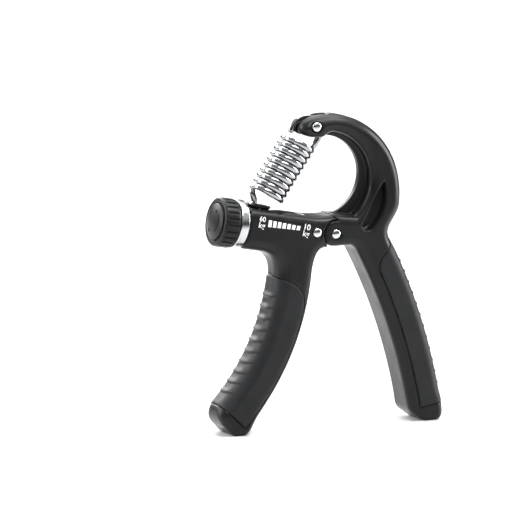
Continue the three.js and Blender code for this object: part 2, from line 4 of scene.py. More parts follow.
import bmesh
import bpy
import numpy as np
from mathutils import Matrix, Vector


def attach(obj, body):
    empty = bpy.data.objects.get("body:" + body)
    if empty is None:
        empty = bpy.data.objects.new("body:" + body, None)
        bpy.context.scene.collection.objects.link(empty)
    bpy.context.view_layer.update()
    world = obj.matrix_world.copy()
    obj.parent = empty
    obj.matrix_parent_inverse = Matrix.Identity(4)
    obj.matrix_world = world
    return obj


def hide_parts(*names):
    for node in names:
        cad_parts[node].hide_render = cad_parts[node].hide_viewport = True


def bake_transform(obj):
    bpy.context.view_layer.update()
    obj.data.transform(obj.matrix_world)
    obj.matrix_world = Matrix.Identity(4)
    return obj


# Adjustable hand grip strengthener. Outlines and stations are in millimetres, and meshes are in metres.
# The handles, their pads and the slider are distance fields turned into meshes. The knob, collar, screw
# and rivets are turned profiles, and the spring is one wire swept along its centreline.

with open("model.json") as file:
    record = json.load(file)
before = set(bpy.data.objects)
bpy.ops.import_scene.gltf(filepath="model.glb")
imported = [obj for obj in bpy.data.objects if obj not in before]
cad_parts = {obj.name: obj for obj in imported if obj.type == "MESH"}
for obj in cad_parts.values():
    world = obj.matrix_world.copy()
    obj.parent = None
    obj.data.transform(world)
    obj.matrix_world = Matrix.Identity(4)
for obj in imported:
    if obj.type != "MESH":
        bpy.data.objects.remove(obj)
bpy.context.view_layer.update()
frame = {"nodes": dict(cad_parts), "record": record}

MM = 0.001
STEP = 0.45  # spacing of the distance fields' grids
FINE_STEP = 0.28

# ---- dimensions, nearly all shared with the CAD part -----------------------------------------------------
PIVOT = (1.6, 96.7)
TONGUE_RIVET = (-8.6, 98.0)
SPRING_RIVET = (-8.3, 150.0)
KNUCKLE_RADIUS = 6.4
SEAM_GAP = 0.4
SEAM_ANGLE = 73.5
GAP = 0.3

LEG_HALF_WIDTH = 9.6
LEFT_LEG = (-135.8, 90.7)
LEFT_LEG_RADIUS = 116.7
LEFT_PAD_EDGE = 123.7
LEFT_PAD_FOOT = -44.6
RIGHT_LEG = (-224.0, -41.0)
RIGHT_LEG_RADIUS = 280.0
RIGHT_PAD_EDGE = 275.9
RIGHT_PAD_FOOT = 10.0
PAD_STEP = 0.4
PAD_WALL = 2.3
PAD_GAP = 0.12
CORE_HALF = 10.2
PAD_HALF = 10.5
ARM_HALF = 9.0

ARM_OUTER = (-1.1, 115.7)
ARM_OUTER_RADIUS = 39.7
ARM_INNER = (-1.9, 123.3)
ARM_INNER_RADIUS = 23.7
ARM_HOLE = (-1.9, 125.3)
ARM_HOLE_RADIUS = 19.5
FIN_HALF = 2.0
RECESS_DEPTH = 5.0

BARREL_START = (-46.2, 103.2)
BARREL_TILT = math.radians(10.5)
BARREL_FROM = 0.6
BARREL_ABOVE = 9.5
BARREL_BELOW = 11.2
SLOT_FROM, SLOT_TO, SLOT_HALF, SLOT_BEVEL = 2.2, 31.0, 3.9, 2.0
CHANNEL_FROM, CHANNEL_TO, CHANNEL_HALF = 2.6, 32.6, 6.3
CHANNEL_ABOVE, CHANNEL_BELOW = 7.2, 6.1
END_BORE_RADIUS = 6.3
SCREW_RADIUS, SCREW_TO = 2.0, 32.3
SHOULDER_RADIUS, SHOULDER_FROM, SHOULDER_TO = 4.6, -5.8, -0.6
HOOK_ALONG, HOOK_ABOVE = 8.0, 8.6
KNOB_RADIUS, KNOB_FACE, KNOB_BACK = 12.2, -13.1, -4.7
KNOB_RECESS_RADIUS, KNOB_WEB, KNOB_WEB_BACK = 9.4, -8.2, -6.2
COLLAR_FROM, COLLAR_TO, COLLAR_BORE = -4.4, -0.1, 5.0

WIRE_RADIUS = 1.55
COIL_RADIUS = 7.75
COIL_PITCH = 3.14
COIL_TURNS = 9.5
COIL_START = 8.65
HOOK_RADIUS = 3.3
LOOP_BACKSET = 4.2

RIVET_SHANK = 2.0
RIVET_HEAD = 2.35
RIVET_DOME = 1.0

BARREL_ROUNDING = 5.6
ANKLE_ROUNDING = 3.4
LOWERED_ANGLE = math.radians(27.3)  # the spring's slope when the handles are fully squeezed
COIL_ROOM = 0.45

ALONG = (math.cos(BARREL_TILT), -math.sin(BARREL_TILT))
ABOVE = (math.sin(BARREL_TILT), math.cos(BARREL_TILT))


def barrel_point(along, above):
    """A point in the XZ plane, given by its station along the barrel and its height above the axis."""
    return (
        BARREL_START[0] + along * ALONG[0] + above * ABOVE[0],
        BARREL_START[1] + along * ALONG[1] + above * ABOVE[1],
    )


HOOK_PIN = barrel_point(HOOK_ALONG, HOOK_ABOVE)


def on_circle(centre, radius, degrees):
    angle = math.radians(degrees)
    return centre[0] + radius * math.cos(angle), centre[1] + radius * math.sin(angle)


def angle_at_height(centre, radius, z):
    return math.degrees(math.asin((z - centre[1]) / radius))


# ---- outlines and distance fields ------------------------------------------------------------------------
class Outline:
    """A closed outline in the XZ plane, made of lines, arcs and cubic curves."""

    def __init__(self, start):
        self.points = [start]

    def line(self, *points):
        self.points += points
        return self

    def arc(self, centre, radius, start, end):
        steps = max(4, int(abs(end - start) * radius / 60))
        for i in range(steps + 1):
            self.points.append(on_circle(centre, radius, start + (end - start) * i / steps))
        return self

    def curve(self, first, second, end, steps=14):
        p = [np.array(q) for q in (self.points[-1], first, second, end)]
        for i in range(1, steps + 1):
            t = i / steps
            s = 1 - t
            point = s**3 * p[0] + 3 * s * s * t * p[1] + 3 * s * t * t * p[2] + t**3 * p[3]
            self.points.append(tuple(point))
        return self

    def distance(self, x, z):
        """Distance of each grid point to the outline, negative inside."""
        points = [
            p for i, p in enumerate(self.points) if math.dist(p, self.points[i - 1]) > 0.02
        ]
        squared = np.full(np.broadcast(x, z).shape, np.inf)
        inside = np.zeros(squared.shape, bool)
        for i, (ax, az) in enumerate(points):
            bx, bz = points[i - 1]
            ex, ez = bx - ax, bz - az
            t = np.clip(((x - ax) * ex + (z - az) * ez) / (ex * ex + ez * ez), 0, 1)
            squared = np.minimum(squared, (x - ax - t * ex) ** 2 + (z - az - t * ez) ** 2)
            if ez != 0:
                crosses = (az > z) != (bz > z)
                inside ^= crosses & (x < ax + (z - az) * ex / ez)
        return np.where(inside, -1.0, 1.0) * np.sqrt(squared)


class Grid:
    """Sample positions in a box, symmetric about the middle plane y = 0."""

    def __init__(self, low_x, high_x, half_y, low_z, high_z, step):
        rows = int(half_y / step) + 2
        self.step = step
        self.x = np.arange(low_x, high_x + step, step)[:, None, None]
        self.y = (np.arange(-rows, rows + 1) * step)[None, :, None]
        self.z = np.arange(low_z, high_z + step, step)[None, None, :]
        dx = self.x - BARREL_START[0]
        dz = self.z - BARREL_START[1]
        self.along = dx * ALONG[0] + dz * ALONG[1]
        self.above = dx * ABOVE[0] + dz * ABOVE[1]

    def radius(self, centre):
        return np.hypot(self.x - centre[0], self.z - centre[1])

    def box(self, from_along, to_along, bottom, top, half):
        """A box in the barrel's frame."""
        return np.maximum.reduce(
            np.broadcast_arrays(
                from_along - self.along,
                self.along - to_along,
                bottom - self.above,
                self.above - top,
                abs(self.y) - half,
            )
        )

    def rod(self, radius, from_along, to_along):
        """A cylinder along the barrel's axis."""
        side = np.hypot(self.above, self.y) - radius
        return np.maximum(side, np.maximum(from_along - self.along, self.along - to_along))


def smooth_step(value, low, high):
    t = np.clip((value - low) / (high - low), 0, 1)
    return t * t * (3 - 2 * t)


def smooth_max(a, b, width):
    overlap = np.maximum(width - abs(a - b), 0) / width
    return np.maximum(a, b) + overlap**2 * width / 4


def smooth_min(a, b, width):
    return -smooth_max(-a, -b, width)


def cut(field, hole, edge=0.4):
    """Takes a hole out of a solid. edge is how far the new edge is softened."""
    return smooth_max(field, -hole, edge)


def rounded_slab(outline, y, half, rounding):
    """An outline's distance field made into a slab with rounded edges."""
    side = outline + rounding
    face = abs(y) - half + rounding
    return (
        np.minimum(np.maximum(side, face), 0)
        + np.hypot(np.maximum(side, 0), np.maximum(face, 0))
        - rounding
    )


def capsule(grid, start, end, radius):
    ex, ez = end[0] - start[0], end[1] - start[1]
    dx, dz = grid.x - start[0], grid.z - start[1]
    t = np.clip((dx * ex + dz * ez) / (ex * ex + ez * ez), 0, 1)
    return np.hypot(dx - t * ex, dz - t * ez) - radius


def rivet_holes(grid, field, point, head_y):
    """A bore for a rivet's shank and a wider counterbore for each head."""
    radius = grid.radius(point)
    field = cut(field, radius - RIVET_SHANK - GAP)
    counterbore = np.maximum(radius - RIVET_HEAD - 0.5, head_y - 0.3 - abs(grid.y))
    return cut(field, counterbore)


def surface_net(field, grid):
    """The surface where a field is zero, as vertices in metres and outward quads."""
    field = np.ascontiguousarray(np.broadcast_to(field, (grid.x.size, grid.y.size, grid.z.size)))
    cells = np.array(field.shape) - 1
    found_cells, found_points, quads = [], [], []
    for axis in range(3):
        low = np.take(field, range(cells[axis]), axis=axis)
        high = np.take(field, range(1, cells[axis] + 1), axis=axis)
        where = np.argwhere((low < 0) != (high < 0))
        a, b = low[tuple(where.T)], high[tuple(where.T)]
        points = where.astype(float)
        points[:, axis] += a / (a - b)
        u, v = (axis + 1) % 3, (axis + 2) % 3
        around = []
        for shift_u, shift_v in ((1, 1), (0, 1), (0, 0), (1, 0)):
            cell = where.copy()
            cell[:, u] -= shift_u
            cell[:, v] -= shift_v
            cell = np.minimum(np.maximum(cell, 0), cells - 1)
            around.append(np.ravel_multi_index(tuple(cell.T), cells))
        found_cells += around
        found_points += [points] * 4
        quad = np.stack(around, axis=1)
        quads.append(np.where((a < 0)[:, None], quad, quad[:, ::-1]))
    used, index = np.unique(np.concatenate(found_cells), return_inverse=True)
    points = np.concatenate(found_points)
    count = np.bincount(index)
    centre = np.stack([np.bincount(index, points[:, k]) / count for k in range(3)], axis=1)
    start = np.array([grid.x.flat[0], grid.y.flat[0], grid.z.flat[0]])
    faces = np.searchsorted(used, np.concatenate(quads))
    return (start + centre * grid.step) * MM, faces.tolist()


# ---- making pieces ---------------------------------------------------------------------------------------
def make_piece(name, vertices, faces, slot, body=None, replaces=()):
    mesh = bpy.data.meshes.new(name)
    mesh.from_pydata(vertices.tolist(), [], faces)
    mesh.polygons.foreach_set("use_smooth", np.ones(len(mesh.polygons), bool))
    piece = bpy.data.objects.new(name, mesh)
    bpy.context.scene.collection.objects.link(piece)
    mesh.materials.append(MATERIALS[slot])
    if body:
        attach(piece, body)
    if replaces:
        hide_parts(*replaces)
    return piece


def field_piece(name, make_field, grid, slot, body):
    """A piece from a distance field, in place of the CAD node of the same name."""
    vertices, faces = surface_net(make_field(grid), grid)
    return make_piece(f"{name}_surface", vertices, faces, slot, body, [name])


def grid_faces(rows, columns, closed_rows=False):
    """Quads over a table of vertices whose columns run round a loop."""
    faces = []
    for i in range(rows if closed_rows else rows - 1):
        row = i * columns
        next_row = (i + 1) % rows * columns
        for j in range(columns):
            side = (j + 1) % columns
            faces.append((row + j, row + side, next_row + side, next_row + j))
    return faces


def round_profile(points, radius, steps=4):
    """A closed profile with each corner replaced by a small arc, or kept where its radius is zero."""
    rounded = []
    count = len(points)
    for i, corner in enumerate(points):
        p = np.array(corner[:2], float)
        size = corner[2] if len(corner) > 2 else radius
        before = np.array(points[i - 1][:2], float) - p
        after = np.array(points[(i + 1) % count][:2], float) - p
        reach = min(size, 0.45 * np.linalg.norm(before), 0.45 * np.linalg.norm(after))
        if reach < 0.02:
            rounded.append(tuple(p))
            continue
        start = p + before / np.linalg.norm(before) * reach
        end = p + after / np.linalg.norm(after) * reach
        for k in range(steps + 1):
            t = k / steps
            rounded.append(tuple((1 - t) ** 2 * start + 2 * t * (1 - t) * p + t * t * end))
    return rounded


def split_profile(profile, longest):
    """A closed profile with points added so that no edge is longer than longest."""
    points = []
    for i, start in enumerate(profile):
        end = profile[(i + 1) % len(profile)]
        pieces = max(1, math.ceil(math.dist(start, end) / longest))
        for k in range(pieces):
            t = k / pieces
            points.append((start[0] + (end[0] - start[0]) * t, start[1] + (end[1] - start[1]) * t))
    return points


def turned_points(profile, sides, relief=None):
    """Vertices of a closed profile of radius and station, turned about the barrel's axis."""
    radius = np.array([p[0] for p in profile])[:, None]
    along = np.array([p[1] for p in profile])[:, None]
    angle = np.linspace(0, 2 * math.pi, sides, endpoint=False)[None, :]
    if relief:
        radius = radius - relief(radius, along, angle)
    across = radius * np.cos(angle)
    above = radius * np.sin(angle)
    along = along + 0 * angle
    x = BARREL_START[0] + along * ALONG[0] + above * ABOVE[0]
    z = BARREL_START[1] + along * ALONG[1] + above * ABOVE[1]
    return np.stack([x, across, z], axis=-1).reshape(-1, 3) * MM


def turned_piece(name, profile, sides, slot, body, relief=None):
    faces = grid_faces(len(profile), sides, closed_rows=True)
    vertices = turned_points(profile, sides, relief)
    piece = make_piece(f"{name}_surface", vertices, faces, slot, body, [name])
    fix_normals(piece)
    return piece


def fix_normals(piece):
    """Merges coincident vertices and points every face outwards."""
    mesh = bmesh.new()
    mesh.from_mesh(piece.data)
    bmesh.ops.remove_doubles(mesh, verts=mesh.verts, dist=1e-6)
    bmesh.ops.dissolve_degenerate(mesh, edges=mesh.edges, dist=1e-7)
    bmesh.ops.recalc_face_normals(mesh, faces=mesh.faces)
    mesh.to_mesh(piece.data)
    mesh.free()
    piece.data.polygons.foreach_set("use_smooth", np.ones(len(piece.data.polygons), bool))


# ---- materials -------------------------------------------------------------------------------------------
MATERIALS = {}


class Look:
    """A procedural material: a Principled shader with noise in its colour, roughness and height."""

    def __init__(self, slot, colour, roughness, metallic=0.0, specular=0.5):
        self.material = bpy.data.materials.new(slot)
        self.material.use_nodes = True
        self.tree = self.material.node_tree
        self.shader = self.tree.nodes["Principled BSDF"]
        self.shader.inputs["Metallic"].default_value = metallic
        self.shader.inputs["Specular IOR Level"].default_value = specular
        self.shader.inputs["Roughness"].default_value = roughness
        self.shader.inputs["Base Color"].default_value = (*colour, 1)
        self.coordinates = self.tree.nodes.new("ShaderNodeTexCoord")
        self.colour = colour
        MATERIALS[slot] = self.material

    def link(self, start, end):
        self.tree.links.new(start, end)

    def noise(self, scale, detail=4.0, stretch=(1, 1, 1)):
        mapping = self.tree.nodes.new("ShaderNodeMapping")
        mapping.inputs["Scale"].default_value = stretch
        noise = self.tree.nodes.new("ShaderNodeTexNoise")
        noise.inputs["Scale"].default_value = scale
        noise.inputs["Detail"].default_value = detail
        self.link(self.coordinates.outputs["Object"], mapping.inputs["Vector"])
        self.link(mapping.outputs["Vector"], noise.inputs["Vector"])
        return noise.outputs["Fac"]

    def ramp(self, value, low, high, low_colour, high_colour):
        ramp = self.tree.nodes.new("ShaderNodeValToRGB")
        ramp.color_ramp.elements[0].position = low
        ramp.color_ramp.elements[1].position = high
        ramp.color_ramp.elements[0].color = (*low_colour, 1)
        ramp.color_ramp.elements[1].color = (*high_colour, 1)
        self.link(value, ramp.inputs["Fac"])
        return ramp.outputs["Color"]

    def vary_colour(self, value, share, low=0.35, high=0.65):
        dark = [c * (1 - share) for c in self.colour]
        light = [min(1, c * (1 + share)) for c in self.colour]
        self.link(self.ramp(value, low, high, dark, light), self.shader.inputs["Base Color"])

    def vary_roughness(self, value, low_roughness, high_roughness, low=0.35, high=0.65):
        span = self.tree.nodes.new("ShaderNodeMapRange")
        span.inputs["From Min"].default_value = low
        span.inputs["From Max"].default_value = high
        span.inputs["To Min"].default_value = low_roughness
        span.inputs["To Max"].default_value = high_roughness
        self.link(value, span.inputs["Value"])
        self.link(span.outputs["Result"], self.shader.inputs["Roughness"])

    def bump(self, value, distance, strength):
        bump = self.tree.nodes.new("ShaderNodeBump")
        bump.inputs["Strength"].default_value = strength
        bump.inputs["Distance"].default_value = distance
        self.link(value, bump.inputs["Height"])
        self.link(bump.outputs["Normal"], self.shader.inputs["Normal"])


plastic = Look("handle_plastic", (0.007, 0.0073, 0.0079), 0.32, specular=0.17)
plastic.vary_colour(plastic.noise(60, 3), 0.12)
plastic.vary_roughness(plastic.noise(120, 5), 0.29, 0.39)
plastic.bump(plastic.noise(2600, 2), 0.00002, 0.35)

rubber = Look("grip_rubber", (0.010, 0.0104, 0.0113), 0.48, specular=0.19)
rubber.vary_colour(rubber.noise(90, 4), 0.15)
rubber.vary_roughness(rubber.noise(200, 5), 0.44, 0.56)
rubber.bump(rubber.noise(1800, 3), 0.00004, 0.5)

chrome = Look("spring_chrome", (0.3, 0.306, 0.315), 0.09, metallic=1.0)
chrome.vary_colour(chrome.noise(150, 3), 0.05)
chrome.vary_roughness(chrome.noise(500, 4), 0.07, 0.15)
chrome.bump(chrome.noise(900, 2), 0.00001, 0.3)

rivet_chrome = Look("rivet_chrome", (0.46, 0.468, 0.48), 0.16, metallic=1.0)
rivet_chrome.vary_colour(rivet_chrome.noise(300, 3), 0.06)
rivet_chrome.vary_roughness(rivet_chrome.noise(900, 4), 0.12, 0.24)
rivet_chrome.bump(rivet_chrome.noise(1200, 2), 0.00001, 0.3)

silver = Look("collar_silver", (0.42, 0.428, 0.44), 0.2, metallic=1.0)
silver.vary_colour(silver.noise(200, 3), 0.04)
silver.vary_roughness(silver.noise(700, 4, (1, 0.15, 0.15)), 0.16, 0.26)
silver.bump(silver.noise(2500, 2, (1, 0.1, 0.1)), 0.00001, 0.3)

steel = Look("plain_steel", (0.5, 0.51, 0.52), 0.34, metallic=1.0)
steel.vary_colour(steel.noise(250, 4), 0.1)
steel.vary_roughness(steel.noise(900, 4), 0.26, 0.42)
steel.bump(steel.noise(2500, 2), 0.00001, 0.4)

brass = Look("bearing_brass", (0.62, 0.47, 0.22), 0.36, metallic=1.0)
brass.vary_colour(brass.noise(250, 4), 0.12)
brass.vary_roughness(brass.noise(900, 4), 0.28, 0.46)

nylon = Look("washer_nylon", (0.72, 0.7, 0.64), 0.5)
nylon.vary_colour(nylon.noise(250, 4), 0.06)
nylon.vary_roughness(nylon.noise(900, 4), 0.42, 0.6)

printed = Look("scale_print", (0.78, 0.78, 0.77), 0.5)
printed.vary_colour(printed.noise(700, 4), 0.06)
printed.vary_roughness(printed.noise(900, 4), 0.42, 0.6)


# ---- left handle -----------------------------------------------------------------------------------------
def left_outline(inset):
    """The leg, neck and barrel. inset moves the outer, padded side inwards."""
    inner = LEFT_LEG_RADIUS + LEG_HALF_WIDTH
    outer = LEFT_LEG_RADIUS - LEG_HALF_WIDTH + inset
    top = math.degrees(-0.11)
    shape = Outline(barrel_point(-6, BARREL_ABOVE))
    shape.line(barrel_point(30, BARREL_ABOVE))
    shape.curve((-11.5, 106.3), (-6, 105), (1, 105.9))
    shape.line((8, 106.2), (8, 89), (-2.5, 89.8))
    shape.curve((-8, 89.8), (-9.6, 83), on_circle(LEFT_LEG, inner, top))
    shape.arc(LEFT_LEG, inner, top, angle_at_height(LEFT_LEG, inner, 9.4))
    shape.curve((-42.6, 5.2), (-43.9, 0), (-47, 0))
    shape.line((-51.8, 0))
    shape.curve((-54, 0), (-55, 2.7), (-57.8, 5))
    ankle = angle_at_height(LEFT_LEG, outer, 16.5)
    shape.curve((-62.4 + inset, 9.2), (-61 + inset, 14.1), on_circle(LEFT_LEG, outer, ankle))
    shape.arc(LEFT_LEG, outer, ankle, math.degrees(-0.115))
    shape.curve((-29.3, 84), (-30.5, 88), (-36.5, 90))
    return shape.line(barrel_point(-6, -BARREL_BELOW))


def left_rounding(grid):
    """Edge rounding: large on the leg's padded side, smaller on its inner side and on the barrel."""
    across = np.clip((grid.radius(LEFT_LEG) - LEFT_LEG_RADIUS) / LEG_HALF_WIDTH, -1, 1)
    leg = foot_rounding(grid, 6.4 - 1.6 * across)
    return leg + (BARREL_ROUNDING - leg) * smooth_step(grid.z, 82, 92)


def foot_rounding(grid, leg):
    """A leg's edge rounding, made smaller towards the flat end that it stands on."""
    return ANKLE_ROUNDING + (leg - ANKLE_ROUNDING) * smooth_step(grid.z, 1, 17)


def left_pad_region(grow):
    edge = LEFT_PAD_EDGE + grow
    foot = LEFT_PAD_FOOT - math.degrees(grow / edge)
    shape = Outline(on_circle(LEFT_LEG, 94, foot))
    shape.arc(LEFT_LEG, edge, foot, math.degrees(-0.24))
    shape.curve((-15.4 + grow, 67 + grow), (-16.4 + grow, 72 + grow), (-26.6, 75.9 + grow))
    return shape.line((-46, 83 + grow))


def lowered_coil(grid):
    """The space round the spring's coil at full squeeze. The CAD handle has no hollow here."""
    x = grid.x - HOOK_PIN[0]
    z = grid.z - HOOK_PIN[1]
    cosine = math.cos(LOWERED_ANGLE)
    sine = math.sin(LOWERED_ANGLE)
    side = np.hypot(z * cosine - x * sine, grid.y) - COIL_RADIUS - WIRE_RADIUS - COIL_ROOM
    return np.maximum(side, COIL_START - WIRE_RADIUS - COIL_ROOM - x * cosine - z * sine)


def left_handle_field(grid):
    outline = left_outline(PAD_STEP).distance(grid.x, grid.z)
    field = rounded_slab(outline, grid.y, CORE_HALF, left_rounding(grid))
    field = smooth_max(field, BARREL_FROM - grid.along, 1.6)

    knuckle = KNUCKLE_RADIUS + SEAM_GAP
    other = Outline(on_circle(PIVOT, knuckle, SEAM_ANGLE))
    other.arc(PIVOT, knuckle, SEAM_ANGLE, 241)
    other.line((-0.9, 88.5), (-0.9, 80), (20, 80), (20, 112), (-4.7, 112))
    field = cut(field, other.distance(grid.x, grid.z), 0.5)

    flare = SLOT_HALF + np.maximum(grid.above - BARREL_ABOVE + SLOT_BEVEL, 0)
    field = cut(field, grid.box(SLOT_FROM, SLOT_TO, 0, BARREL_ABOVE + 5, flare), 0.7)
    field = cut(field, grid.box(CHANNEL_FROM, CHANNEL_TO, -CHANNEL_BELOW, CHANNEL_ABOVE, CHANNEL_HALF))
    field = cut(field, grid.rod(END_BORE_RADIUS, -2, CHANNEL_FROM + 1))
    field = cut(field, lowered_coil(grid), 0.6)
    tip = np.array(PIVOT) + 12 * (np.array(PIVOT) - TONGUE_RIVET) / math.dist(PIVOT, TONGUE_RIVET)
    tongue = capsule(grid, TONGUE_RIVET, tip, 4.7)
    field = cut(field, np.maximum(tongue, abs(grid.y) - 3))
    field = rivet_holes(grid, field, TONGUE_RIVET, 9.3)
    return pad_recess(field, left_pad_region(PAD_GAP).distance(grid.x, grid.z))


def pad_recess(field, region):
    """Takes away the wall that a grip pad fills, down to the core inside it."""
    return np.maximum(field, -np.maximum(region, -(field + PAD_WALL + 0.2)))


RIDGE_HALF_LENGTH = 7.6
RIDGE_HALF_HEIGHT = 1.85
RIDGE_HEIGHT = 0.9


def pad_ridges(grid, centre, outer_radius, angles, outwards):
    """Height of the lens-shaped ridges across a pad's outer side. The lower edge of each is steep."""
    radius = grid.radius(centre)
    side = smooth_step(outwards * (radius - outer_radius), -7, -3)
    angle = np.degrees(np.arctan2(grid.z - centre[1], grid.x - centre[0]))
    lens = np.maximum(1 - (grid.y / RIDGE_HALF_LENGTH) ** 2, 0)
    height = 0
    for middle in angles:
        rise = np.radians(angle - middle) * outer_radius / RIDGE_HALF_HEIGHT
        place = rise / np.maximum(lens, 0.05)
        bulge = smooth_step(place, -1, -0.7) * (1 - smooth_step(place, -0.7, 1))
        height = np.maximum(height, bulge * np.sqrt(lens))
    return RIDGE_HEIGHT * height * side


def spaced(first, pitch, count, radius):
    """Angles, in degrees, of marks at an even pitch along an arc."""
    return [first + math.degrees(pitch * i / radius) for i in range(count)]


LEFT_OUTER = LEFT_LEG_RADIUS - LEG_HALF_WIDTH
RIGHT_OUTER = RIGHT_LEG_RADIUS + LEG_HALF_WIDTH


def left_pad_field(grid):
    outline = left_outline(0).distance(grid.x, grid.z)
    envelope = rounded_slab(outline, grid.y, PAD_HALF, left_rounding(grid))
    angles = spaced(LEFT_PAD_FOOT + 4.7, 5.75, 10, LEFT_OUTER)
    ridges = pad_ridges(grid, LEFT_LEG, LEFT_OUTER, angles, -1)
    region = left_pad_region(0).distance(grid.x, grid.z)
    return np.maximum(smooth_max(envelope - ridges, region, 0.9), -(envelope + PAD_WALL))


left_grid = Grid(-66, 8, PAD_HALF, -1.5, 115, STEP)
field_piece("left_handle_frame", left_handle_field, left_grid, "handle_plastic", "left_handle")
left_pad_grid = Grid(-66, -8, PAD_HALF, 4, 82, STEP)
field_piece("left_grip_pad", left_pad_field, left_pad_grid, "grip_rubber", "left_handle")


# ---- right handle ----------------------------------------------------------------------------------------
def right_outline(inset):
    """The leg, hub and tube-shaped arm. inset moves the outer, padded side inwards."""
    inner = RIGHT_LEG_RADIUS - LEG_HALF_WIDTH
    outer = RIGHT_LEG_RADIUS + LEG_HALF_WIDTH - inset
    shape = Outline((-6, 90))
    shape.line((9.5, 90.3))
    crotch = angle_at_height(RIGHT_LEG, inner, 86)
    shape.curve((11.7, 90.3), (13.5, 88.9), on_circle(RIGHT_LEG, inner, crotch))
    shape.arc(RIGHT_LEG, inner, crotch, angle_at_height(RIGHT_LEG, inner, 8))
    shape.curve((42.6, 4.4), (46.2, 2.8), (48.6, 1.1))
    shape.curve((49.6, 0.4), (50.6, 0), (51.6, 0))
    shape.line((57.2, 0))
    ankle = angle_at_height(RIGHT_LEG, outer, 8)
    shape.curve((60, 0), (61.8 - inset, 2.2), on_circle(RIGHT_LEG, outer, ankle))
    shape.arc(RIGHT_LEG, outer, ankle, angle_at_height(RIGHT_LEG, outer, 86))
    shape.curve((33.6, 91), (32, 93), (32, 95.5))
    shape.curve((32, 99), (35.2, 101.5), on_circle(ARM_OUTER, ARM_OUTER_RADIUS, -12))
    shape.arc(ARM_OUTER, ARM_OUTER_RADIUS, -12, 103)
    shape.curve((-13.4, 153.6), (-16.3, 151.6), (-15.9, 148.4))
    shape.curve((-15.5, 145.8), (-11, 144.4), (-5.4, 144.2))
    shape.curve((-2.2, 144.1), (-1.8, 146.9), (2.4, 146.6))
    shape.arc(ARM_INNER, ARM_INNER_RADIUS, 78, -52)
    return shape.line((1.7, 106.1), (-5, 105.8))


def right_rounding(grid):
    """Edge rounding: even on the leg, and larger outside than inside on the arm."""
    across = np.clip((grid.radius(RIGHT_LEG) - RIGHT_LEG_RADIUS) / LEG_HALF_WIDTH, -1, 1)
    leg = foot_rounding(grid, 5.6 + 1.4 * across)
    arm = 4.2 + 2 * smooth_step(grid.radius(ARM_OUTER), 27, 37)
    return leg + (arm - leg) * smooth_step(grid.z, 92, 106)


def right_pad_region(grow):
    edge = RIGHT_PAD_EDGE - grow
    foot = RIGHT_PAD_FOOT - math.degrees(grow / edge)
    shape = Outline((46, 97 + grow))
    shape.line((31.6 - grow, 92.6 + grow))
    shape.curve((33.6 - grow, 86.5 + grow), (24 - grow, 84.5 + grow), (25.3 - grow, 78.6))
    shape.arc(RIGHT_LEG, edge, 25.4, foot)
    return shape.line(on_circle(RIGHT_LEG, 302, foot))


def recess_outline():
    """Teardrop that follows the inside of the arm."""
    shape = Outline((28.6, 121))
    shape.curve((23, 116), (21.6, 108.5), (16.4, 102))
    shape.curve((14.6, 98), (18.6, 95.6), (21.6, 98.6))
    return shape.curve((27, 104), (30.4, 112), (28.6, 121))


def right_handle_field(grid):
    half = CORE_HALF + (ARM_HALF - CORE_HALF) * smooth_step(grid.z, 104, 124)
    outline = right_outline(PAD_STEP).distance(grid.x, grid.z)
    field = rounded_slab(outline, grid.y, half, right_rounding(grid))

    fin = np.maximum(ARM_HOLE_RADIUS - grid.radius(ARM_HOLE), grid.radius(ARM_INNER) - 26)
    fin = np.maximum(fin, -1 - grid.x)
    field = smooth_min(field, rounded_slab(fin, grid.y, FIN_HALF, 0.7), 1.4)

    kept = Outline((1.6, 90.3))
    kept.arc(PIVOT, KNUCKLE_RADIUS, 270, SEAM_ANGLE)
    kept.line((-4.3, 111.5), (-40, 111.5), (-40, 170), (80, 170), (80, -10), (1.6, -10))
    field = smooth_max(field, kept.distance(grid.x, grid.z), 0.5)

    recess = recess_outline().distance(grid.x, grid.z)
    floor = half - RECESS_DEPTH - abs(grid.y)
    side, bottom = recess + 2.2, floor + 2.2
    bowl = np.minimum(np.maximum(side, bottom), 0) - 2.2
    bowl = bowl + np.hypot(np.maximum(side, 0), np.maximum(bottom, 0))
    field = cut(field, bowl, 1.2)

    gap = Outline(on_circle(PIVOT, 5.4, -60)).arc(PIVOT, 5.4, -60, 100)
    gap.line((-10.4, 103.7), (-10.4, 82.7), (-1.4, 82.7))
    field = cut(field, np.maximum(gap.distance(grid.x, grid.z), abs(grid.y) - 3))

    loop_radius = COIL_RADIUS + WIRE_RADIUS + 0.5
    slot = Outline(on_circle(SPRING_RIVET, loop_radius, -75)).arc(SPRING_RIVET, loop_radius, -75, 25)
    slot.line((0, 162), (-14, 162), (-24, 150), (-16, 138))
    field = cut(field, np.maximum(slot.distance(grid.x, grid.z), abs(grid.y) - 2), 0.8)
    field = rivet_holes(grid, field, PIVOT, 9.3)
    field = rivet_holes(grid, field, SPRING_RIVET, 8.1)
    return pad_recess(field, right_pad_region(PAD_GAP).distance(grid.x, grid.z))


def right_pad_field(grid):
    outline = right_outline(0).distance(grid.x, grid.z)
    envelope = rounded_slab(outline, grid.y, PAD_HALF, right_rounding(grid))
    angles = spaced(RIGHT_PAD_FOOT + 1.9, 6.0, 12, RIGHT_OUTER)
    ridges = pad_ridges(grid, RIGHT_LEG, RIGHT_OUTER, angles, 1)
    region = right_pad_region(0).distance(grid.x, grid.z)
    return np.maximum(smooth_max(envelope - ridges, region, 0.9), -(envelope + PAD_WALL))


right_grid = Grid(-19, 67, PAD_HALF, -1.5, 158, STEP)
field_piece("right_handle_frame", right_handle_field, right_grid, "handle_plastic", "right_handle")
right_pad_grid = Grid(20, 67, PAD_HALF, 4, 98, STEP)
field_piece("right_grip_pad", right_pad_field, right_pad_grid, "grip_rubber", "right_handle")


